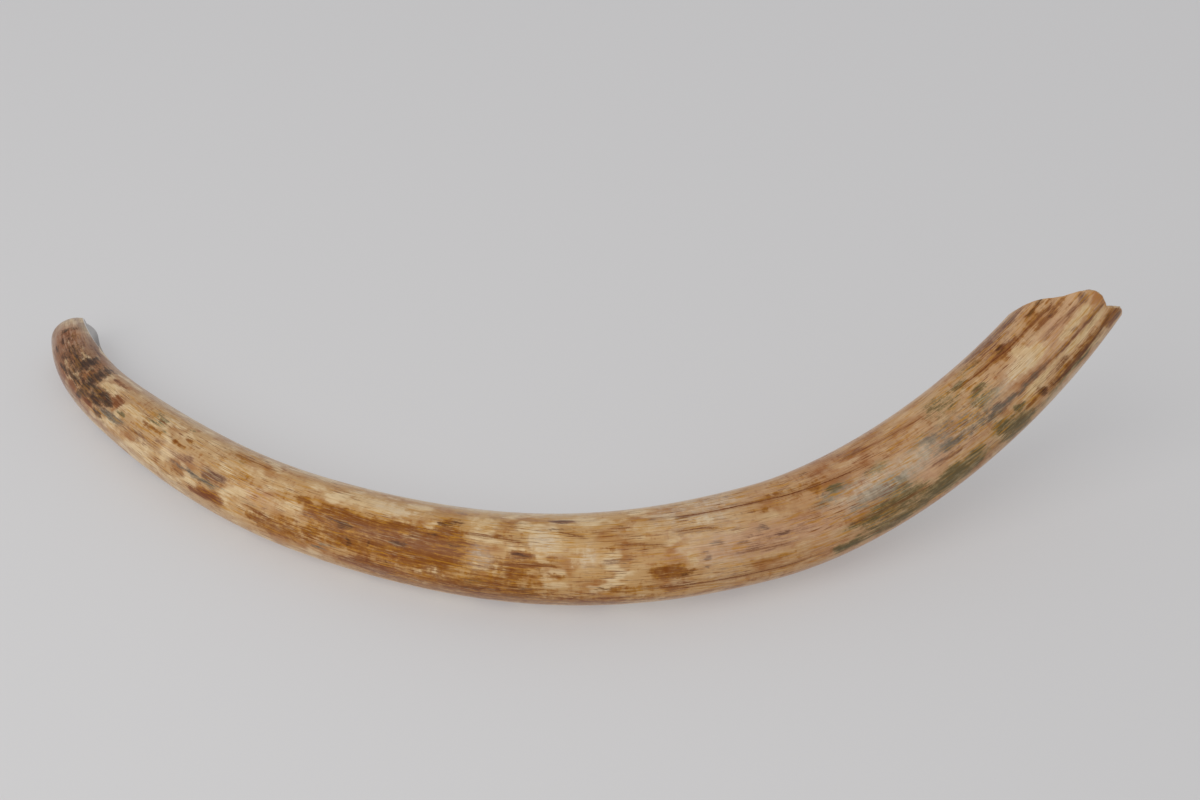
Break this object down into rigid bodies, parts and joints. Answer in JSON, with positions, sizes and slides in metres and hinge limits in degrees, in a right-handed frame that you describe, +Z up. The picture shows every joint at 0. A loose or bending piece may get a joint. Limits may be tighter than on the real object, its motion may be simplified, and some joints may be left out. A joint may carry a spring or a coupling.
{
  "type": "mammoth tusk",
  "caption": "Polished fossil mammoth tusk, one curved and gently twisting tapered horn shape with a blunt worn tip and a broken hollow root, lying on its belly.",
  "frame": {"origin": "on the ground, under the middle of the tusk's box", "axes": "+Z up from the ground that the tusk lies on; +X along its longest extent, from the tip's side towards the root's side; the inside of the bend faces +Y"},
  "size_m": [1.283, 0.4966, 0.2717],
  "materials": {
    "fossil_ivory": "polished mineral-stained ivory: cream to tan, with umber, amber, mauve and green patches along the grain"
  },
  "bodies": {
    "root": {"tusk": "fossil_ivory"}
  },
  "joints": []
}
